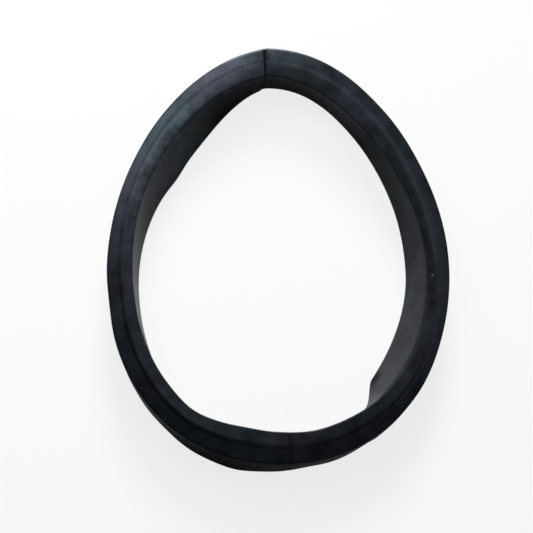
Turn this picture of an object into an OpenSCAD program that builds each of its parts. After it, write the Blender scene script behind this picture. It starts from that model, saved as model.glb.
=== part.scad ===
// Tub seal of a washing machine.
// One soft rubber band, closed into a loop by a splice at the crown and another at the
// foot. It lies loose on its far face, as it comes out of its bag: the loop has gone
// egg-shaped, the band leans inward on the flanks, and low on the right its far side
// has tucked in and sprung back, which leaves a fold.
// +Z is the axis of the loop, +Y points to the crown, the far face lies on Z = 0, and
// the origin is in the middle of the box around the band.
// Clock angles run from the crown, over three o'clock on +X, to the foot at 180.

/* [Loop] */
// Overall width of the near face, flank to flank
loop_width = 314; // [240:2:420]
// Overall length of the near face, crown to foot, without the crown's corner
loop_length = 388; // [300:2:520]
// How far the crown stands out as a corner at its splice
crown_peak = 4; // [0:0.5:8]

/* [Band] */
// Width of the near face, on average round the loop
face_width = 25; // [22:0.5:30]
// How much wider the face is where it has spread most
face_spread = 5; // [0:0.5:6]
// Depth of the band, from the outer lip of its groove to the far face
band_depth = 34; // [24:1:44]
// Radius of the outer edge of the near face
outer_radius = 2.5; // [1:0.5:4]
// Radius of the inner edge of the near face
inner_radius = 1.5; // [1:0.5:3.5]
// Radius of both edges of the far face
far_radius = 2; // [0.5:0.5:4]
// How much higher the near face is beside its groove than at its edges
face_dome = 0.8; // [0:0.2:2]

/* [Groove] */
// Width of the land outside the groove, where the face has its average width
outer_land = 10.5; // [8:0.5:12.5]
// Width of the groove at its mouth
groove_width = 4; // [2:0.5:6]
// Depth of the groove below a line from lip to lip, where it stands fully open
groove_depth = 0.6; // [0.2:0.2:2.4]
// How much higher its inner lip stands there than the outer one
lip_rise = 1.2; // [0:0.2:2.4]

/* [Lie of the band] */
// How far the far side leans inward where the lean is 100 percent
lean = 10; // [0:0.5:12]
// Angle by which the near face tips outward where its tip is 100 percent
face_tip = 10; // [0:1:14]
// How much farther the far side tucks inward at the fold
fold_tuck = 11.5; // [0:0.5:16]
// Clock angle where the tuck is deepest
fold_at = 134; // [130:1:150]
// Clock angle over which the tuck builds up before that
fold_run = 40; // [20:1:60]
// Clock angle over which it springs back after it
fold_length = 9; // [4:1:12]

/* [Splices] */
// Clock angle of the crown splice
crown_splice = -4; // [-12:1:12]
// Clock angle of the foot splice
foot_splice = 177; // [168:1:192]
// Width of the line that a splice leaves all round the band
splice_width = 2.4; // [1:0.2:4]
// Depth of the line at the crown splice
crown_splice_depth = 0.8; // [0.2:0.1:1.5]
// Depth of the line at the foot splice
foot_splice_depth = 0.4; // [0.2:0.1:1.5]

/* [Hidden] */

rubber = [0.13, 0.15, 0.18];

// Marks at the twelve hours, from twelve o'clock on, in percent.
// How full the loop is, against a plain oval
fullness = [98, 95.5, 95.5, 101, 104, 102.5, 100, 103.5, 105, 99.5, 95.5, 96];
// How far the far side leans inward, against the lean
lean_share = [-20, -20, 45, 125, 95, -15, -45, -40, 30, 80, 190, 115];
// How much wider the face is than on average, against the spread
spread_share = [90, 100, 40, -50, -80, 30, 80, 30, 0, -50, -60, 40];
// How far the near face tips outward, against the tip
tip_share = [-15, -15, 40, 20, 10, 70, 50, 45, 30, 80, 80, 50];
// How far the groove stands open, against its full height and depth
open_share = [15, 15, 20, 20, 30, 60, 100, 110, 100, 60, 20, 15];

// Clock angle between two rings, on the plain stretches and at the fold
plain_step = 3;
fold_step = 0.8;
// Clock angle over which the corner at the crown dies away
peak_reach = 14;
// Clock angle on either side of a ring over which its direction is taken
chord_half = 2;
// Power by which the groove's floor lies nearer to its outer lip; 1 is the middle
groove_skew = 1.3;

// Segments of one rounded edge, of the groove and of one plain wall
arc_steps = 4;
groove_steps = 6;
wall_steps = 2;

// Goes evenly and smoothly from 0 at a to 1 at b
function ease(a, b, t) = let (u = min(max((t - a) / (b - a), 0), 1)) u * u * (3 - 2 * u);

// Signed angle from a to b, from -180 to 180
function turn(a, b) = b - a - 360 * round((b - a) / 360);

// Smooth closed curve through twelve marks, one at each hour
function hour_weight(d) = abs(sin(d / 2)) < 0.0001 ? 1 : sin(6 * d) * cos(d / 2) / (12 * sin(d / 2));
function through_hours(marks, t) = marks * [for (hour = [0:11]) hour_weight(t - 30 * hour)] / 100;

// How far a list of points reaches along axis i, and the middle of that reach
function span(points, i) = let (all = [for (p = points) p[i]]) max(all) - min(all);
function middle(points, i) = let (all = [for (p = points) p[i]]) (max(all) + min(all)) / 2;

// Outer edge of the near face at clock angle t, seen from above: the full oval, brought
// to its overall width and length, with the corner at the crown added
function full_oval(t) = through_hours(fullness, t) * [sin(t), cos(t)];
whole_oval = [for (t = [0:plain_step:359]) full_oval(t)];
reach_across = span(whole_oval, 0);
reach_along = span(whole_oval, 1);
function peak(t) = crown_peak * exp(-abs(turn(crown_splice, t)) / peak_reach);
function edge_at(t) =
    let (oval = full_oval(t))
    [loop_width * oval[0] / reach_across, loop_length * oval[1] / reach_along]
    + peak(t) * [sin(t), cos(t)];

// Unit normal of that edge, pointing into the loop. Its chord is long enough for the rings
// beside the crown's corner not to cross at their inner ends.
function inward_at(t) =
    let (along = edge_at(t + chord_half) - edge_at(t - chord_half))
    [along[1], -along[0]] / norm(along);

// Width of the near face, its tip, the groove's opening, and the lean of the far side with
// its fold
function width_at(t) = face_width + face_spread * through_hours(spread_share, t);
function tip_at(t) = face_tip * through_hours(tip_share, t);
function open_at(t) = through_hours(open_share, t);
function tuck_at(t) =
    fold_tuck * ease(fold_at - fold_run, fold_at, t) * (1 - ease(fold_at, fold_at + fold_length, t));
function lean_at(t) = lean * through_hours(lean_share, t) + tuck_at(t);

// Depth of the splice line: full on the joint, nothing beside it
function splice_depth_at(t) =
    abs(turn(crown_splice, t)) < 0.01 ? crown_splice_depth
    : abs(turn(foot_splice, t)) < 0.01 ? foot_splice_depth
    : 0;

// Rounded edge with its centre at c, from angle a to angle b
function rounded(c, r, a, b) =
    [for (k = [0:arc_steps]) let (v = a + (b - a) * k / arc_steps) c + r * [cos(v), sin(v)]];

// Plain wall between two heights at distance x, without its ends
function wall(x, from, to) =
    [for (k = [1:wall_steps - 1]) [x, from + (to - from) * k / wall_steps]];

// Groove whose outer lip is at distance x and height z: steep on the outer side, and with
// a gentle climb to the higher lip on the inner one
function groove(x, z, opened) =
    [for (k = [0:groove_steps])
        let (q = k / groove_steps,
             climb = lip_rise * q - groove_depth * sin(180 * q))
        [x + groove_width * pow(q, groove_skew), z + opened * climb]];

// Cut of the band for a face of width w, from the far outer edge round to the far inner one.
// The first number is the distance in from the outer edge, the second the height. The near
// face is domed: both lands rise from their edge to their lip of the groove.
function band_cut(w, opened) =
    let (brow = band_depth - face_dome)
    concat(
        rounded([far_radius, far_radius], far_radius, 270, 180),
        wall(0, far_radius, brow - outer_radius),
        rounded([outer_radius, brow - outer_radius], outer_radius, 180, 90),
        groove(outer_land * w / face_width, band_depth, opened),
        rounded([w - inner_radius, brow - inner_radius], inner_radius, 90, 0),
        wall(w, brow - inner_radius, far_radius),
        rounded([w - far_radius, far_radius], far_radius, 0, -90));

// Cut drawn in all round by d, as a splice leaves it
function drawn_in(cut, w, d) =
    [for (p = cut)
        [w / 2 + (p[0] - w / 2) * (1 - 2 * d / w),
         band_depth / 2 + (p[1] - band_depth / 2) * (1 - 2 * d / band_depth)]];

// Ring of points at clock angle t: the cut leans inward below and tips on top
function ring_at(t) =
    let (w = width_at(t),
         edge = edge_at(t),
         inward = inward_at(t))
    [for (p = drawn_in(band_cut(w, open_at(t)), w, splice_depth_at(t)))
        let (rise = p[1] / band_depth,
             tip = tip_at(t) * rise,
             in = w / 2 + (p[0] - w / 2) * cos(tip) + lean_at(t) * (1 - rise),
             up = p[1] + (p[0] - w / 2) * sin(tip))
        [edge[0] + inward[0] * in, edge[1] + inward[1] * in, up]];

// Clock angles of the rings, from the crown splice right round to it again
function stretch(a, b, step) =
    let (count = ceil((b - a) / step)) [for (k = [0:count - 1]) a + (b - a) * k / count];
beside = splice_width / loop_length * 180 / PI;
fold_end = fold_at + fold_length;
angles = concat(
    [crown_splice],
    stretch(crown_splice + beside, fold_at - fold_length, plain_step),
    stretch(fold_at - fold_length, fold_end, fold_step),
    stretch(fold_end, foot_splice - beside, plain_step),
    [foot_splice - beside, foot_splice],
    stretch(foot_splice + beside, 360 + crown_splice - beside, plain_step),
    [360 + crown_splice - beside]);

// Closed skin over rings that each have the same number of points
module skin(rings) {
    count = len(rings);
    size = len(rings[0]);
    polyhedron(
        points = [for (ring = rings, p = ring) p],
        faces = [for (i = [0:count - 1], j = [0:size - 1], half = [0, 1])
            let (next = (i + 1) % count, beyond = (j + 1) % size)
            half == 0
                ? [i * size + j, next * size + j, next * size + beyond]
                : [i * size + j, next * size + beyond, i * size + beyond]],
        convexity = 8);
}

module tub_seal() {
    rings = [for (t = angles) ring_at(t)];
    points = [for (ring = rings, p = ring) p];
    color(rubber)
        translate([-middle(points, 0), -middle(points, 1), 0])
            skin(rings);
}

tub_seal();
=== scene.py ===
# %% [markdown]
# # Tub seal of a washing machine
#
# The object is one soft rubber band, closed into a loop by two vulcanised splices. It lies
# on a pale table as it came out of its bag: egg-shaped, leaning inward on the flanks, and
# with a fold low on the right where the far side has tucked in and sprung back.
#
# A band of constant make is a profile carried along a path. It could be drawn with a curve
# and a bevel object, but then the lean, the fold and the splices would need many hooks and
# shape keys. Here the surface is one function of two parameters: the clock angle round the
# loop, and the place round the cut of the band. numpy works it out as whole arrays.

import bpy
import numpy as np
from mathutils import Matrix, Vector


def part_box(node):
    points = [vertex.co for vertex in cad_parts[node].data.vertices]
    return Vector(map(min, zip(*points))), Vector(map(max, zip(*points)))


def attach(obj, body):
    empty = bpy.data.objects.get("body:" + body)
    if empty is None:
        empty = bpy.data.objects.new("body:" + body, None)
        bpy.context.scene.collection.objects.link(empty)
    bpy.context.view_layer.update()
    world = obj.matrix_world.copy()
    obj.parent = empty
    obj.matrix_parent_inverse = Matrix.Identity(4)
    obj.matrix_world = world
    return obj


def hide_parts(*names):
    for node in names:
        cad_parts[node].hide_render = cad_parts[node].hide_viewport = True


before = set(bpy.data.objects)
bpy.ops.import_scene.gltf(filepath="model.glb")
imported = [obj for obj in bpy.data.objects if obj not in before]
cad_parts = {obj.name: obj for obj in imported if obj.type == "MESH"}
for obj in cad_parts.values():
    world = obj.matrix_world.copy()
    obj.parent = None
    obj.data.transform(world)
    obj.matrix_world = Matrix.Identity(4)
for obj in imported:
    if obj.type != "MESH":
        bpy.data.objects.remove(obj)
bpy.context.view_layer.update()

mm = 0.001
seal_low, seal_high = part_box("tub_seal")
print("CAD box, mm:", [round(x / mm, 1) for x in (*seal_low, *seal_high)])

# %% [markdown]
# ## Camera
#
# The photograph looks down on the seal from the lower left, 74 degrees above the table and
# about 0.9 m away, with the crown at the top of the picture. The camera comes first because
# every later choice is judged through it. A Track To constraint would aim it too, but it
# would stay live in the file. Here its turn is worked out once, from the place it looks at,
# with the table's +Y kept upright in the picture.

# %% Camera
look_at = Vector((-10.0, -10.5, 0.0)) * mm
camera_rise = np.radians(74)
camera_turn = np.radians(-25)
camera_distance = 900 * mm


def put(name, data):
    """New object that holds the given data, placed in the scene."""
    made = bpy.data.objects.new(name, data)
    bpy.context.scene.collection.objects.link(made)
    return made


away = Vector((np.cos(camera_rise) * np.sin(camera_turn),
               -np.cos(camera_rise) * np.cos(camera_turn),
               np.sin(camera_rise)))
picture_up = Vector((0, 1, 0)) - away * away.y
picture_up.normalize()
picture_right = picture_up.cross(away)

camera = put("photo_camera", bpy.data.cameras.new("photo_camera"))
camera.matrix_world = Matrix.Translation(look_at + away * camera_distance) @ Matrix(
    (picture_right, picture_up, away)).transposed().to_4x4()
camera.data.sensor_width = 36
camera.data.lens = 65
camera.data.clip_start = 0.01
camera.data.clip_end = 50
bpy.context.scene.camera = camera
print("camera at, mm:", [round(x / mm) for x in camera.location])

# %% [markdown]
# ## Curves along the clock
#
# Nearly everything about this band changes on its way round: how full the loop is, how wide
# its face is, how far it leans. Each of these is a curve along the clock. Twelve marks, one
# at each hour, give its broad course, and a bell adds a gentle wave between two hours. A
# spline through free points could do the same, but with clock marks one number moves one
# side of the loop, and the number can be read off the picture like the time.

# %% Curves
hours = 12


def turn(a, b):
    """Signed angle in degrees from a to b: their difference, brought between -180 and 180."""
    return (b - a + 180) % 360 - 180


def ease(a, b, t):
    """Goes evenly from 0 at a to 1 at b: 3 u^2 - 2 u^3, where u is the share of the way."""
    u = np.clip((t - a) / (b - a), 0, 1)
    return u * u * (3 - 2 * u)


def plateau(a, b, c, d, t):
    """Rises evenly from 0 at a to 1 at b, and falls evenly from 1 at c to 0 at d."""
    return ease(a, b, t) * (1 - ease(c, d, t))


def bell(distance, reach):
    """Bell curve exp(-(distance / reach)^2): 1 at its middle and 0.37 at its reach."""
    return np.exp(-(distance / reach) ** 2)


def waves_at(waves, t):
    """Sum of bells along the clock, each given by its angle, its height and its reach."""
    return sum(tall * bell(turn(at, t), reach) for at, tall, reach in waves)


def through_hours(marks, t):
    """Smooth closed curve through twelve marks given in percent, one at each hour.

    The value at t is the sum of each mark times sin(6 d) cos(d / 2) / (12 sin(d / 2)),
    where d is the angle from the mark's hour to t. That weight is 1 at its own hour and 0
    at the other eleven."""
    d = np.radians(np.asarray(t, float)[..., None] - 360 // hours * np.arange(hours))
    half = np.sin(d / 2)
    here = np.abs(half) < 1e-6
    weight = np.sin(hours // 2 * d) * np.cos(d / 2) / (hours * np.where(here, 1, half))
    return np.where(here, 1, weight) @ np.array(marks, float) / 100


def toward(t):
    """Unit vectors from the middle towards clock angle t, with +Y at twelve o'clock."""
    return np.stack([np.sin(np.radians(t)), np.cos(np.radians(t))], -1)


print("towards three o'clock:", toward(90).round(3))

# %% [markdown]
# ## Outline of the loop
#
# Seen from above, the outer edge of the near face is a plain oval that is fuller at some
# hours of the clock and slacker at others. A Bezier circle with its handles moved would be
# quick to draw, but it would have to be measured again after each change. This oval is
# scaled, so its width and length are exact. The crown ends in a corner, because the band is
# stiffer at its joint than beside it and won't take the bend there. That corner's curve is
# sharp in the middle, where a bell would be round.

# %% Outline
loop_width = 314 * mm
loop_length = 388 * mm
crown_peak = 4 * mm
crown_corner = -4.8
peak_reach = 14
oval_step = 3
chord_half = 3

fullness = [98, 95.5, 95.5, 101, 104, 102.5, 100, 103.5, 105, 99.5, 95.5, 96]
edge_waves = [(50, 0.9 * mm, 10), (129, 1.4 * mm, 11), (253, -1.3 * mm, 7)]


def full_oval(t):
    """Unit oval at clock angle t: the fullness there times the unit vector towards t."""
    return through_hours(fullness, t)[..., None] * toward(t)


oval_size = np.ptp(full_oval(np.arange(0, 360, oval_step)), axis=0)


def edge_at(t):
    """Outer edge of the near face: the full oval scaled to the loop's width and length, with
    a corner at the crown that stands out by its peak times exp(-angle / reach), and waves."""
    corner = crown_peak * np.exp(-np.abs(turn(crown_corner, t)) / peak_reach)
    out = corner + waves_at(edge_waves, t)
    return full_oval(t) * [loop_width, loop_length] / oval_size + out[..., None] * toward(t)


def inward_at(t):
    """Unit normal of that edge, into the loop: its chord over six degrees, turned a quarter.
    A shorter chord would let the rings cross inside the corner at the crown."""
    along = edge_at(t + chord_half) - edge_at(t - chord_half)
    normal = np.stack([along[..., 1], -along[..., 0]], -1)
    return normal / np.linalg.norm(normal, axis=-1, keepdims=True)


every_degree = np.arange(360.0)
print("outline, mm:", (np.ptp(edge_at(every_degree), axis=0) / mm).round(1))

# %% [markdown]
# ## Lie of the band
#
# The near face has spread at the crown and the foot, has drawn narrow on the flanks, and
# tips outward by up to nine degrees. Below it, the far side leans inward by a different
# amount at each hour. The fold is one more lean that builds up gently and then ends within
# nine degrees of the clock, as rubber does when it springs back. Posing the band with bones
# or a lattice would bend it too, but these are all plain numbers along the clock, so they go
# in as curves.

# %% Width, tip, lean and fold
face_width = 25 * mm
face_spread = 5 * mm
face_tip = 10
lean = 10 * mm
fold_tuck = 11.5 * mm
fold_at = 134
fold_run = 40
fold_length = 9

spread_share = [90, 100, 40, -50, -80, 30, 80, 30, 0, -50, -60, 40]
tip_share = [-15, -15, 40, 20, 10, 70, 50, 45, 30, 80, 80, 50]
lean_share = [-20, -20, 45, 125, 95, -15, -45, -40, 30, 80, 190, 115]
open_share = [10, 15, 20, 20, 30, 60, 100, 110, 100, 60, 20, 10]
face_waves = [(50, 0.6 * mm, 10), (129, 1.3 * mm, 11), (168, -1.9 * mm, 12),
              (194, 1.2 * mm, 7), (214, -2.0 * mm, 8), (253, -1.2 * mm, 7)]
lean_waves = [(145.5, -2.5 * mm, 3.2), (170, 1.4 * mm, 6), (193, -1.4 * mm, 6),
              (217, 1.4 * mm, 7), (297.5, 1.9 * mm, 6.5)]


def width_at(t):
    """Width of the near face: the average width plus the spread times its share, and waves."""
    return face_width + face_spread * through_hours(spread_share, t) + waves_at(face_waves, t)


def tip_at(t):
    """Angle in radians by which the near face tips outward: the tip times its share."""
    return np.radians(face_tip * through_hours(tip_share, t))


def open_at(t):
    """How far the groove stands open, as a share of its full height and depth."""
    return through_hours(open_share, t)


def lean_at(t):
    """How far the far side lies inward: the lean times its share, the tuck, and waves. The
    first wave is where the rubber has sprung back past its rest just after the fold."""
    tuck = plateau(fold_at - fold_run, fold_at, fold_at, fold_at + fold_length, t)
    return lean * through_hours(lean_share, t) + fold_tuck * tuck + waves_at(lean_waves, t)


for title, curve in (("face width", width_at(every_degree)), ("lean", lean_at(every_degree))):
    print(title, "from and to, mm:", round(curve.min() / mm, 1), round(curve.max() / mm, 1))

# %% [markdown]
# ## Cut of the band
#
# The cut is a block with rounded edges and a groove along its near face. The face is
# slightly domed, so that at the crown the outer land catches the light and at the foot the
# inner land does. At the upper left, where the band leans most, its inner edge is soft, and
# the inner land bulges wherever the groove has closed up. One drawn profile could be scaled
# to every width, but that would squash its rounded edges, so the cut is worked out anew for
# each ring. Its stretches are small arrays, joined end to end, and two passes of averaging
# take the knife edge off the lips of the groove, as the mould does.

# %% Sizes of the cut
band_depth = 34 * mm
face_dome = 0.8 * mm
outer_radius = 2.5 * mm
inner_radius = 1.5 * mm
far_radius = 2 * mm
outer_land = 10.5 * mm
groove_width = 4 * mm
groove_depth = 0.6 * mm
groove_skew = 1.3
lip_rise = 1.2 * mm

# By how much the inner edge's radius grows at each hour, in percent
inner_softness = [0, 0, 0, 0, 0, 0, 0, 0, 0, 30, 130, 70]

# Steps along each stretch of the cut
far_edge_steps = 7
outer_edge_steps = 9
inner_edge_steps = 10
groove_steps = 18
outer_wall_steps = 9
inner_wall_steps = 11
outer_land_steps = 7
inner_land_steps = 12
far_face_steps = 5
smoothing_passes = 2
print("band, mm:", band_depth / mm, "deep and on average", face_width / mm, "wide")

# %% Stretches of the cut


def rounded(x, z, radius, start, end, steps):
    """Arc about (x, z): x + r cos(v) and z + r sin(v), with v from start to end."""
    v = np.radians(start[:, None] + (end - start)[:, None] * np.linspace(0, 1, steps + 1))
    return x[:, None] + radius[:, None] * np.cos(v), z[:, None] + radius[:, None] * np.sin(v)


def between(a, b, steps, power=1):
    """Points from the end of stretch a to the start of b, without those two. The distance
    grows evenly with q and the height as q to a power, so 1 is straight and 2 is bulged."""
    q = np.arange(1, steps) / steps
    (xa, za), (xb, zb) = a, b
    return (xa[:, -1:] + (xb[:, :1] - xa[:, -1:]) * q,
            za[:, -1:] + (zb[:, :1] - za[:, -1:]) * q ** power)


def groove_stretch(x, z, opened, steps):
    """Groove from lip to lip: x grows as q^1.3, so that the outer side is the steep one, and
    z climbs to the inner lip with q and dips by the depth times sin(pi q), both by the share
    to which the groove stands open."""
    q = np.linspace(0, 1, steps + 1)
    climb = lip_rise * q - groove_depth * np.sin(np.pi * q)
    return x[:, None] + groove_width * q ** groove_skew, z + opened[:, None] * climb


def lip_at(width):
    """Distance of the groove's outer lip from the outer edge, in proportion to the width."""
    return outer_land * width / face_width


print("lip of the groove at, mm:", round(lip_at(face_width) / mm, 1))

# %% Whole cut


def band_cut(width, opened, inner):
    """Cut of the band for each width, opening of the groove and inner radius, as distances
    in from the outer edge and heights, from the far outer edge over the near face and round
    again. Each rounded edge ends in the slope of the land beside it."""
    level = 0 * width
    outer, far = level + outer_radius, level + far_radius
    brow = band_depth - face_dome
    lip = lip_at(width)
    bulge = (2 - opened)[:, None]
    fall = face_dome + lip_rise * opened
    climb_angle = np.degrees(np.arctan(face_dome / lip))
    fall_angle = np.degrees(np.arctan(bulge[:, 0] * fall / (width - lip - groove_width)))

    far_out = rounded(far, far, far, level + 270, level + 180, far_edge_steps)
    near_out = rounded(outer, brow - outer, outer, level + 180, 90 + climb_angle,
                       outer_edge_steps)
    groove = groove_stretch(lip, band_depth, opened, groove_steps)
    near_in = rounded(width - inner, brow - inner, inner, 90 - fall_angle, level,
                      inner_edge_steps)
    far_in = rounded(width - far, far, far, level, level - 90, far_edge_steps)
    stretches = [far_out, between(far_out, near_out, outer_wall_steps),
                 near_out, between(near_out, groove, outer_land_steps),
                 groove, between(groove, near_in, inner_land_steps, bulge),
                 near_in, between(near_in, far_in, inner_wall_steps),
                 far_in, between(far_in, far_out, far_face_steps)]
    cut = np.stack([np.concatenate(part, 1) for part in zip(*stretches)], -1)
    for _ in range(smoothing_passes):
        cut = (np.roll(cut, 1, 1) + 2 * cut + np.roll(cut, -1, 1)) / 4
    return cut


def cut_at(t):
    """Cut of the band at the clock angles t, with its inner edge softer at the upper left."""
    softness = np.clip(through_hours(inner_softness, t), 0, None)
    return band_cut(width_at(t), open_at(t), inner_radius * (1 + softness))


print("points round one cut:", cut_at(np.zeros(1)).shape[1])

# %% [markdown]
# ## Splices
#
# The profile was extruded straight and its ends were joined in a hot mould, once at the
# crown and once at the foot. Each joint shows as a fine line all round the band. A normal
# map could draw it, but then the outline wouldn't dip. Here the cut is drawn in towards its
# middle over a width of 2.4 mm, by half a millimetre at the crown and by half of that at the
# foot, with rings packed closely enough there to carry the line. The fold has close rings too.

# %% Rings
crown_splice = -5.5
foot_splice = 177
splice_width = 2.4 * mm
crown_splice_depth = 0.5 * mm
foot_splice_depth = 0.25 * mm
plain_rings = 840
splice_rings = 25
fold_rings = 33

mean_radius = (loop_width + loop_length) / 4
beside = np.degrees(splice_width / mean_radius)
close_rings = np.linspace(-1.5 * beside, 1.5 * beside, splice_rings)
clock = np.unique(np.round(np.concatenate([
    np.linspace(crown_splice, crown_splice + 360, plain_rings + 1)[:-1],
    crown_splice + close_rings[close_rings >= 0],
    crown_splice + 360 + close_rings[close_rings < 0],
    foot_splice + close_rings,
    np.linspace(fold_at - 1, fold_at + fold_length + 1, fold_rings)]), 4))


def splice_depth_at(t):
    """Depth of the line: full on the joint and falling to nothing as a cosine beside it."""
    depth = 0 * t
    for at, full in ((crown_splice, crown_splice_depth), (foot_splice, foot_splice_depth)):
        off = np.clip(np.abs(turn(at, t)) * 2 / beside, 0, 1)
        depth = depth + full * (1 + np.cos(np.pi * off)) / 2
    return depth


print("rings:", len(clock), " rings in the lines:", int((splice_depth_at(clock) > 0).sum()))

# %% [markdown]
# ## Sweep
#
# At each ring the cut is set upright on the outline, drawn in by the splice, pushed inward
# below by the lean, and turned about the middle of the near face by its share of the tip.
# The joint at the crown wasn't cut quite square, so the rings beside it are skewed a little.
# Soft rubber is never quite true either: a slow ripple of up to half a millimetre rides on
# the walls. A Displace modifier could add that, but its texture wouldn't follow the band.

# %% Skew and ripple
splice_skew = 7.5
skew_reach = 11
ripple = 0.25 * mm


def way_in_at(t):
    """Way of each ring into the loop: the inward normal n less the tangent times tan(skew),
    so that the joint at the crown runs off square while the band keeps its width. The skew
    dies away beside the joint as exp(-(angle / reach)^2)."""
    normal = inward_at(t)
    tangent = np.stack([-normal[:, 1], normal[:, 0]], -1)
    skew = splice_skew * bell(turn(crown_splice, t), skew_reach)
    return normal - np.tan(np.radians(skew))[:, None] * tangent


def sway_at(t, rise):
    """Ripple of the walls: sines of 7, 13 and 23 waves round the loop, with heights of 1, 0.6
    and 0.4, times sin(pi rise), so that it dies away at both faces. The shifts of 1.3 and of
    4 times the rise keep the waves from starting together at the crown."""
    angle = np.radians(t)[:, None]
    waves = (np.sin(7 * angle + 1.3) + 0.6 * np.sin(13 * angle + 4 * rise)
             + 0.4 * np.sin(23 * angle))
    return ripple * np.sin(np.pi * np.clip(rise, 0, 1)) * waves


most_sway = np.abs(sway_at(clock, 0.5)).max()
print("largest ripple halfway up, mm:", round(most_sway / mm, 2))

# %% Surface of the seal


def band_surface(t):
    """Points of the band for the clock angles t, one ring each.

    In its own plane a point at distance x and height z goes to w/2 + (x - w/2) cos(tip k)
    + lean (1 - k) inward and z + (x - w/2) sin(tip k) up, where k is z over the depth."""
    width, depth = width_at(t)[:, None], splice_depth_at(t)[:, None]
    cut = cut_at(t)
    x = (cut[..., 0] - width / 2) * (1 - 2 * depth / width)
    z = band_depth / 2 + (cut[..., 1] - band_depth / 2) * (1 - 2 * depth / band_depth)
    rise = z / band_depth
    tip = tip_at(t)[:, None] * rise
    inward = (width / 2 + x * np.cos(tip) + lean_at(t)[:, None] * (1 - rise)
              + sway_at(t, rise))
    up = z + x * np.sin(tip)
    flat = edge_at(t)[:, None] + inward[..., None] * way_in_at(t)[:, None]
    return np.concatenate([flat, up[..., None]], -1)


surface = band_surface(clock)
middle = (surface.reshape(-1, 3).max(0) + surface.reshape(-1, 3).min(0)) / 2
surface[..., :2] -= middle[:2]
print("rings and points:", surface.shape[:2], " middle moved by, mm:",
      (middle[:2] / mm).round(2))

# %% [markdown]
# ## Mesh
#
# The grid is closed both ways, so every corner has four faces and the skin has no rim. A
# bmesh could bridge the rings one by one, but from_pydata takes the whole grid at once. The
# UV map is in metres, along the band and round its cut, so that the rubber's streaks can
# follow the band, and its seam across the band lies in the crown splice.

# %% Mesh of the seal


def closed_band(name, points):
    """Mesh object of a grid that is closed both ways, with its faces outward and a UV map of
    running lengths in metres. Also gives the lengths round the loop and round the cut."""
    rings, size = points.shape[:2]
    i, j = np.meshgrid(np.arange(rings), np.arange(size), indexing="ij")
    after, beyond = (i + 1) % rings, (j + 1) % size
    quads = np.stack([i * size + j, i * size + beyond,
                      after * size + beyond, after * size + j], -1)
    mesh = bpy.data.meshes.new(name)
    mesh.from_pydata(points.reshape(-1, 3).tolist(), [], quads.reshape(-1, 4).tolist())

    along = np.linalg.norm(np.diff(points, axis=0, append=points[:1]), axis=-1).mean(1)
    across = np.linalg.norm(np.diff(points, axis=1, append=points[:, :1]), axis=-1).mean(0)
    u = np.concatenate([[0], np.cumsum(along)])
    v = np.concatenate([[0], np.cumsum(across)])
    corners = np.stack([np.stack([u[i], v[j]], -1), np.stack([u[i], v[j + 1]], -1),
                        np.stack([u[i + 1], v[j + 1]], -1), np.stack([u[i + 1], v[j]], -1)], 2)
    layer = mesh.uv_layers.new(name="band_map")
    layer.data.foreach_set("uv", corners.astype(np.float32).ravel())
    mesh.polygons.foreach_set("use_smooth", np.ones(rings * size, bool))
    mesh.update()
    return put(name, mesh), u[-1], v[-1]


seal, round_loop, round_cut = closed_band("rubber_band", surface)
print("triangles:", 2 * len(seal.data.polygons),
      " round the loop and the cut, mm:", round(round_loop / mm), round(round_cut / mm))
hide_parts("tub_seal")
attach(seal, "root")

# %% [markdown]
# ## Places on the skin
#
# Some finishes follow places of the band and not a pattern: the stain at a splice, painted
# shade in the groove and at a crease, painted highlights at the upper left and along a lip on
# the right, painted light on a wall, and shine taken down where walls lie in shade. They could
# be painted by hand, but that needs an image. Each is instead a soft product over two
# coordinates that the mesh has already: the clock angle of a ring, and the place on its cut.
# One table says where each mark lies on the clock, and another how far in from the outer edge
# it runs.

# %% Places
# Middle of each mark on the clock, how far it reaches, and how strong it is
# Most of these marks are painted light or shade: shade in the groove and the crease, the
# highlights, the light on a wall, and the walls and edge whose shine is taken down for shade
on_clock = {
    "foot_groove_shade": (228, 60, 0.35), "left_groove_shade": (318, 34, 0.32), "crease_shade": (133.2, 3.4, 0.8),
    "highlight_paint": (303, 26, 1.0), "outer_highlight_paint": (325, 22, 0.5), "wall_light_paint": (122, 30, 0.34),
    "left_crown_wall": (333, 20, 0.85), "right_crown_wall": (46, 20, 0.85),
    "foot_wall": (201, 42, 0.95), "wall_after_fold": (143.5, 3.5, 0.6),
    "right_inner_edge": (122, 26, 0.5)}

# How far in from the outer edge each strip runs, and how wide it is
# The highlight strips are painted highlights; the flash is the mould's
on_cut = {"flash": (11.6 * mm, 1.5 * mm), "highlight_paint": (21 * mm, 9 * mm),
          "outer_highlight_paint": (6 * mm, 3 * mm), "lip_highlight_paint": (14.5 * mm, 1.8 * mm)}

# Depths over which the near face fades into the walls, and where the inner side begins
face_fade = (4 * mm, 2 * mm)
inner_side = (15 * mm, 20 * mm)

from_edge, height = np.moveaxis(cut_at(clock), -1, 0)


def along_clock(place):
    """Strength times a bell along the clock, one value for each ring."""
    at, reach, strength = on_clock[place]
    return strength * bell(turn(at, clock), reach)[:, None]


def in_strip(place):
    """Bell across the band, about a line that runs all round it."""
    at, wide = on_cut[place]
    return bell(from_edge - at, wide)


def from_splice(splice):
    """Distance along the band from a splice: the angle times half the loop's width, which is
    how far a degree goes where the oval is pointed."""
    return np.radians(turn(splice, clock))[:, None] * loop_width / 2


def up_to_face(start, end):
    """Goes from 0 at one depth below the near face to 1 at a smaller one."""
    return ease(band_depth - start, band_depth - end, height)


near_face = up_to_face(*face_fade)
inner_wall = (1 - near_face) * ease(*inner_side, from_edge)
off_crown, off_foot = from_splice(crown_splice), from_splice(foot_splice)
print("points on the near face:", round(float((near_face > 0.5).mean()), 3))
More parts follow.
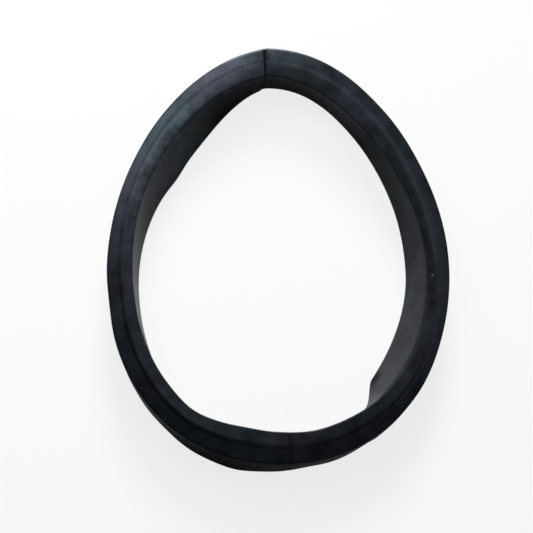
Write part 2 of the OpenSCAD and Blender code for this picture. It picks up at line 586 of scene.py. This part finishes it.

# %% [markdown]
# ## Dark marks and painted shade
#
# The rubber is stained dark at the crown splice, and much less at the one at the foot. Beside
# the crown's joint the mould has left a tick of flash: a short stroke along the groove and a
# shorter one across the outer land. Painted shade darkens the groove, most at the foot and
# some at the upper left, and painted shade darkens the wall where the fold pinches it. All of
# them darken the rubber in the same way, so they share one attribute. The strongest one holds
# where two meet, so the marks don't add up.

# %% Stain, flash, and painted shade in the groove and the crease
crown_stain_edges = (-3.0 * mm, -2.2 * mm, 0.8 * mm, 3.0 * mm)
crown_stain_strength = 0.8
foot_stain_reach = 2.2 * mm
foot_stain_strength = 0.35
flash_start = (-0.5 * mm, 0.5 * mm)
flash_end = (4.6 * mm, 5.6 * mm)
flash_along_strength = 0.8
flash_across_at, flash_across_reach = 3.4 * mm, 0.8 * mm
flash_across_end = 11.2 * mm
flash_across_strength = 0.4
groove_shade_past_lip, groove_shade_reach = 1.3 * mm, 2.0 * mm
crease_top = (6 * mm, 13 * mm)


def mark(name, values):
    """Puts one value per point into the mesh as an attribute."""
    values = np.broadcast_to(values, surface.shape[:2]).astype(np.float32)
    layer = seal.data.attributes.new(name, "FLOAT", "POINT")
    layer.data.foreach_set("value", values.ravel())
    print(name, "covers", round(float((values > 0.2).mean()), 3), "of the points")


crown_stain = crown_stain_strength * plateau(*crown_stain_edges, off_crown)
foot_stain = foot_stain_strength * bell(off_foot, foot_stain_reach)

flash_along = flash_along_strength * in_strip("flash") * (1 - ease(*flash_end, off_crown))
flash_across = flash_across_strength * bell(off_crown - flash_across_at, flash_across_reach)
flash_across = flash_across * (from_edge < flash_across_end)
flash = near_face * (flash_along + flash_across) * ease(*flash_start, off_crown)

# Painted shade in the groove, darkest at the foot and at the upper left
groove_shade_middle = lip_at(width_at(clock))[:, None] + groove_shade_past_lip
in_groove = near_face * bell(from_edge - groove_shade_middle, groove_shade_reach)
groove_shade = in_groove * (along_clock("foot_groove_shade") + along_clock("left_groove_shade"))
# Painted shade on the wall where the fold pinches it
crease_shade = along_clock("crease_shade") * inner_wall * (1 - ease(*crease_top, height))

# Real stains and flash share this attribute with the painted shade in the groove and the
# crease
dark = np.broadcast_arrays(crown_stain, foot_stain, groove_shade, flash, crease_shade)
mark("stains_and_shade", np.maximum.reduce(dark))

# %% [markdown]
# ## Painted highlights and painted light
#
# A pale painted highlight lies on the near face at the upper left, where the face shines,
# thickest on the inner land. Painted light brightens the wall above the fold, which slopes
# towards the viewer, and on the right a painted highlight runs along a strip of the inner land
# by the lip. Each has a colour and an edge of its own, so each gets its own attribute.

# %% Painted highlights and painted wall light
highlight_paint_top = (8 * mm, 4 * mm)
right_side = (-4, 6, 88, 100)

# Painted highlight where the near face shines at the upper left
inner_highlight_paint = up_to_face(*highlight_paint_top) * along_clock("highlight_paint") * in_strip("highlight_paint")
outer_highlight_paint = near_face * along_clock("outer_highlight_paint") * in_strip("outer_highlight_paint")
mark("highlight_paint", inner_highlight_paint + outer_highlight_paint)
# Painted light on the inner wall above the fold, on the right flank
mark("wall_light_paint", inner_wall * along_clock("wall_light_paint"))

right_face = plateau(*right_side, clock)[:, None] * near_face
# Painted highlight along the lip on the right
mark("lip_highlight_paint", right_face * in_strip("lip_highlight_paint"))

# %% [markdown]
# ## Shine taken down for shade
#
# Smooth rubber mirrors at a grazing angle, however dark it is. Here the shine is taken down
# where the band should lie in shade: on the walls by the crown and the foot, on the wall after
# the fold, and on the inner edge and the inner land on the right. That is painted shade. More
# roughness in the shader would only spread the shine, so the attribute takes the shine itself
# down, all of it where the value is 1.

# %% Painted shade on the shine
# Painted shade on the wall by the crown: deepest at its foot, a little lighter higher up
crown_wall_rise = (6 * mm, 30 * mm)
crown_wall_low, crown_wall_fade = 1.06, 0.16
outer_wall_ends = (1.5 * mm, 3.5 * mm)
outer_edge_shine = 0.3
inner_edge_reach, inner_edge_top = 2.5 * mm, (6 * mm, 3 * mm)
right_land_from, right_land_strength = (16 * mm, 19 * mm), 0.28

crown_wall = inner_wall * (along_clock("left_crown_wall") + along_clock("right_crown_wall"))
crown_wall = crown_wall * (crown_wall_low - crown_wall_fade * ease(*crown_wall_rise, height))
foot_wall = along_clock("foot_wall") * (1 - ease(*outer_wall_ends, from_edge))
foot_wall = foot_wall * (1 - outer_edge_shine * near_face)
wall_after_fold = along_clock("wall_after_fold") * inner_wall
inner_edge = bell(from_edge - width_at(clock)[:, None], inner_edge_reach)
inner_edge = along_clock("right_inner_edge") * inner_edge * up_to_face(*inner_edge_top)
right_land = right_land_strength * right_face * ease(*right_land_from, from_edge)
# Painted shade: shine taken down on the crown and foot walls, after the fold, and on the right
mark("shade_dulling", np.clip(right_land + crown_wall + foot_wall + wall_after_fold + inner_edge, 0, 1))

# %% [markdown]
# ## Rubber
#
# Carbon-filled rubber is a blue-black with a satin skin. A flat colour would look like
# paint, so its patterns come first: clouds some centimetres wide, blotches of a centimetre,
# the patches that break up the painted highlights, fine streaks along the band left by the
# die, and a close grain that only the highlights show. They are noises on Object coordinates,
# apart from the streaks, which lie on the band's own UV map and are stretched along it.

# %% Node helpers


def open_tree(owner):
    """Turns on the nodes of a material or a world. The helpers for nodes work on the tree
    that was opened last."""
    global tree
    owner.use_nodes = True
    tree = owner.node_tree


def node(kind, **values):
    """New node, with its properties and its named sockets set."""
    made = tree.nodes.new(kind)
    for key, value in values.items():
        if key in made.inputs:
            made.inputs[key].default_value = value
        else:
            setattr(made, key, value)
    return made


def link(source, socket):
    """Wire from an output to an input."""
    tree.links.new(source, socket)


def noise(vector, **values):
    """Value of a noise texture at the given coordinates."""
    made = node("ShaderNodeTexNoise", **values)
    link(vector, made.inputs["Vector"])
    return made.outputs["Fac"]


rubber = bpy.data.materials.new("tub_rubber")
open_tree(rubber)
print("nodes of a new material:", [made.name for made in tree.nodes])

# %% Patterns of the rubber
rubber_ior = 1.5
streaks_per_metre = (14, 900, 1)

skin = tree.nodes["Principled BSDF"]
skin.inputs["IOR"].default_value = rubber_ior

on_object = node("ShaderNodeTexCoord").outputs["Object"]
band_map = node("ShaderNodeUVMap", uv_map="band_map").outputs["UV"]
clouds = noise(on_object, Scale=14, Detail=3, Roughness=0.55)
blotches = noise(on_object, Scale=75, Detail=5, Roughness=0.62)
patches = noise(on_object, Scale=130, Detail=4, Roughness=0.6)
grain = noise(on_object, Scale=1400, Detail=2, Roughness=0.6)

along_band = node("ShaderNodeMapping")
along_band.inputs["Scale"].default_value = streaks_per_metre
link(band_map, along_band.inputs["Vector"])
streaks = noise(along_band.outputs["Vector"], Scale=1, Detail=3, Roughness=0.55)
print("pattern nodes:", len(tree.nodes))

# %% [markdown]
# ## Colour of the skin
#
# The base is two near-blacks in blotches. Over it come, one after another, the painted
# highlight at the upper left in patches, the painted light on the wall above the fold, the
# painted highlight along the lip on the right, the dark marks with their painted shade, and
# one fleck of talc on the right. Each layer is a Mix node driven by its attribute, which keeps
# one material for the whole seal and lets each layer fade out softly.

# %% Ramps, blends and marks


def ramp(source, low, high, start, end):
    """Value that goes from start to end as the source goes from low to high."""
    made = node("ShaderNodeMapRange")
    limits = {"From Min": low, "From Max": high, "To Min": start, "To Max": end}
    for key, value in limits.items():
        made.inputs[key].default_value = value
    link(source, made.inputs["Value"])
    return made.outputs["Result"]


def combined(operation, first, second):
    """Result of a Math node on two values."""
    made = node("ShaderNodeMath", operation=operation)
    link(first, made.inputs[0])
    link(second, made.inputs[1])
    return made.outputs["Value"]


def blend_colour(share, first, second):
    """Colour between two, by a share from 0 to 1."""
    made = node("ShaderNodeMix", data_type="RGBA")
    link(share, made.inputs["Factor"])
    for socket, colour in ((made.inputs[6], first), (made.inputs[7], second)):
        if isinstance(colour, tuple):
            socket.default_value = (*colour, 1)
        else:
            link(colour, socket)
    return made.outputs[2]


def marked(name):
    """Value of one of the mesh's attributes."""
    return node("ShaderNodeAttribute", attribute_name=name).outputs["Fac"]


print("attributes of the mesh:", seal.data.attributes.keys())

# %% Layers of colour
dark_rubber, pale_rubber = (0.0035, 0.0045, 0.006), (0.0065, 0.008, 0.0105)
# The next three colours are painted light: a highlight, a wall's light and a lip's highlight
painted_highlight_colour = (0.040, 0.051, 0.060)
painted_wall_light_colour = (0.052, 0.050, 0.052)
painted_lip_highlight_colour = (0.014, 0.020, 0.024)
stain_and_shade_colour = (0.003, 0.0035, 0.004)
talc = (0.15, 0.155, 0.16)
fleck_place = (139.0 * mm, -22.5 * mm, 34.3 * mm)
talc_fade = (0.5 * mm, 1.2 * mm, 0.9, 0)

# From and to of a pattern, and the values that it gives there
toning = (0.35, 0.68, 0, 1)
highlight_mottling, highlight_patches = (0.42, 0.58, 0.6, 1.3), (0.36, 0.6, 0.4, 1)
lip_highlight_patches = (0.3, 0.6, 0.4, 1)
dark_edge = (0.05, 0.8, 0, 1)

toned = blend_colour(ramp(blotches, *toning), dark_rubber, pale_rubber)
# Painted highlight at the upper left, broken up in patches
mottled = combined("MULTIPLY", marked("highlight_paint"), ramp(blotches, *highlight_mottling))
highlight_share = combined("MULTIPLY", mottled, ramp(patches, *highlight_patches))
highlighted = blend_colour(highlight_share, toned, painted_highlight_colour)
# Painted light on the wall above the fold
wall_lit = blend_colour(marked("wall_light_paint"), highlighted, painted_wall_light_colour)
# Painted highlight along the lip on the right, broken up in patches
lip_highlight_share = combined("MULTIPLY", marked("lip_highlight_paint"), ramp(patches, *lip_highlight_patches))
lip_highlighted = blend_colour(lip_highlight_share, wall_lit, painted_lip_highlight_colour)
# The darkest colour covers the stains and the painted shade
dark_share = ramp(marked("stains_and_shade"), *dark_edge)
stained_and_shaded = blend_colour(dark_share, lip_highlighted, stain_and_shade_colour)

fleck = node("ShaderNodeVectorMath", operation="DISTANCE")
link(on_object, fleck.inputs[0])
fleck.inputs[1].default_value = fleck_place
talc_share = ramp(fleck.outputs["Value"], *talc_fade)
link(blend_colour(talc_share, stained_and_shaded, talc), skin.inputs["Base Color"])
print("nodes with the colour:", len(tree.nodes))

# %% [markdown]
# ## Sheen, die lines and grain
#
# Most of what is seen of black rubber is its shine. Its tint wanders between a greener and a
# more violet blue with the clouds, its roughness with the blotches and the streaks, and its
# strength is taken down by the dark marks with their painted shade, and by the painted shade
# on the walls and edges. Two Bump nodes add the die lines and the grain, a tenth or two of a
# millimetre high: too fine for the mesh.

# %% Sheen and relief
green_blue, violet_blue = (0.60, 0.84, 1.0), (0.72, 0.74, 1.0)
tint_wander = (0.42, 0.6, 0, 1)
rough_blotches, rough_streaks = (0.32, 0.7, 0.29, 0.40), (0.3, 0.7, -0.02, 0.03)
gloss_blotches = (0.32, 0.7, 0.22, 0.38)
stain_and_shade_gloss = 0.18
plain_gloss = 0.3

link(blend_colour(ramp(clouds, *tint_wander), green_blue, violet_blue),
     skin.inputs["Specular Tint"])
roughness = combined("ADD", ramp(blotches, *rough_blotches), ramp(streaks, *rough_streaks))
link(roughness, skin.inputs["Roughness"])
# The shine is taken down at the stains, at the painted shade and on the shaded walls
taken_down = combined("MULTIPLY", ramp(dark_share, 0, 1, 1, stain_and_shade_gloss),
                      ramp(marked("shade_dulling"), 0, 1, 1, 0))
gloss = combined("MULTIPLY", ramp(blotches, *gloss_blotches), taken_down)
skin.inputs["Specular IOR Level"].default_value = plain_gloss
link(gloss, skin.inputs["Specular IOR Level"])

die_lines = node("ShaderNodeBump", Strength=0.25, Distance=0.2 * mm)
link(streaks, die_lines.inputs["Height"])
fine_grain = node("ShaderNodeBump", Strength=0.3, Distance=0.12 * mm)
link(grain, fine_grain.inputs["Height"])
link(die_lines.outputs["Normal"], fine_grain.inputs["Normal"])
link(fine_grain.outputs["Normal"], skin.inputs["Normal"])

seal.data.materials.append(rubber)
print("rubber nodes:", len(tree.nodes))

# %% [markdown]
# ## Table
#
# The table is plain, nearly white and matt. To the camera it also glows with most of a white
# light, by a Light Path node, so that the picture's ground is white without a stronger lamp
# on the seal, and the rest of the paint still shows the seal's shadow. A mirror ray sees
# hardly any of that glow, because black rubber on a white table would shine all over.

# %% Table
half_table = 6.0
paint_grey = (0.8, 0.8, 0.8, 1)
seen_glow = {"Is Camera Ray": 0.8, "Is Glossy Ray": 0.02, "Is Transmission Ray": 0.8}

table_mesh = bpy.data.meshes.new("table")
table_mesh.from_pydata([(-half_table, -half_table, 0), (half_table, -half_table, 0),
                        (half_table, half_table, 0), (-half_table, half_table, 0)],
                       [], [(0, 1, 2, 3)])
table = put("table", table_mesh)

table_paint = bpy.data.materials.new("table_paint")
open_tree(table_paint)
tree.nodes.remove(tree.nodes["Principled BSDF"])
matt = node("ShaderNodeBsdfDiffuse", Color=paint_grey)
white_glow = node("ShaderNodeEmission")
light_path = node("ShaderNodeLightPath")
glow = None
for ray, share in seen_glow.items():
    added = node("ShaderNodeMath", operation="MULTIPLY_ADD")
    added.inputs[1].default_value = share
    added.inputs[2].default_value = 0
    link(light_path.outputs[ray], added.inputs[0])
    if glow:
        link(glow, added.inputs[2])
    glow = added.outputs["Value"]
both = node("ShaderNodeMixShader")
link(glow, both.inputs[0])
link(matt.outputs["BSDF"], both.inputs[1])
link(white_glow.outputs["Emission"], both.inputs[2])
link(both.outputs["Shader"], tree.nodes["Material Output"].inputs["Surface"])
table_mesh.materials.append(table_paint)
print("table, m across:", 2 * half_table)

# %% [markdown]
# ## Light
#
# The main light is one broad soft lamp beyond the crown and low, as a window, so that the
# outer land shines at the upper left and the foot stays dark. Four weak fills round it off:
# one high on the right, a small one over the crown and one to its left for the sheen there,
# and one from the foot's side for the outer wall. A sky texture would be quicker, but area
# lamps put the sheen where the band turns.

# %% Lamps
# Name, compass turn, rise above the table, distance, size, power
lamps = [("window", 0, 25, 3.2, 1.0, 140), ("right_fill", 60, 60, 3.2, 1.0, 5.5),
         ("desk_lamp", -20, 54, 1.0, 0.45, 2.5), ("left_fill", -45, 38, 1.0, 0.45, 2.4),
         ("front_fill", 170, 30, 3.2, 1.6, 3)]


def soft_lamp(name, compass, rise, distance, size, power):
    """Square white area lamp that looks at the origin from a compass turn and a rise above
    the table, both in degrees, with 0 towards +Y and 90 towards +X."""
    data = bpy.data.lights.new(name, "AREA")
    data.size = size
    data.energy = power
    a, e = np.radians(compass), np.radians(rise)
    back = Vector((np.sin(a) * np.cos(e), np.cos(a) * np.cos(e), np.sin(e)))
    lamp = put(name, data)
    lamp.location = back * distance
    lamp.rotation_euler = back.to_track_quat("Z", "Y").to_euler()


for lamp in lamps:
    soft_lamp(*lamp)
print("lamps and watts:", [(lamp[0], lamp[-1]) for lamp in lamps])

# %% [markdown]
# ## Room
#
# The world is dim overhead, so that it adds little light, and white at the horizon, where a
# level view would see it. A Map Range on the height of the view's direction does both.

# %% World
horizon, overhead = 1.0, 0.06
haze_from, haze_to = 0.02, 0.2

room = bpy.data.worlds.new("room")
bpy.context.scene.world = room
open_tree(room)
backdrop = tree.nodes["Background"]
direction = node("ShaderNodeTexCoord").outputs["Generated"]
split = node("ShaderNodeSeparateXYZ")
link(direction, split.inputs["Vector"])
strength = ramp(split.outputs["Z"], haze_from, haze_to, horizon, overhead)
strength.node.interpolation_type = "SMOOTHSTEP"
link(strength, backdrop.inputs["Strength"])
backdrop.inputs["Color"].default_value = (1, 1, 1, 1)
print("world strength, horizon and overhead:", horizon, overhead)

# %% [markdown]
# ## Finish
#
# The colours are written as they should look, so the view is Standard.

# %% Finish
bpy.context.scene.view_settings.view_transform = "Standard"
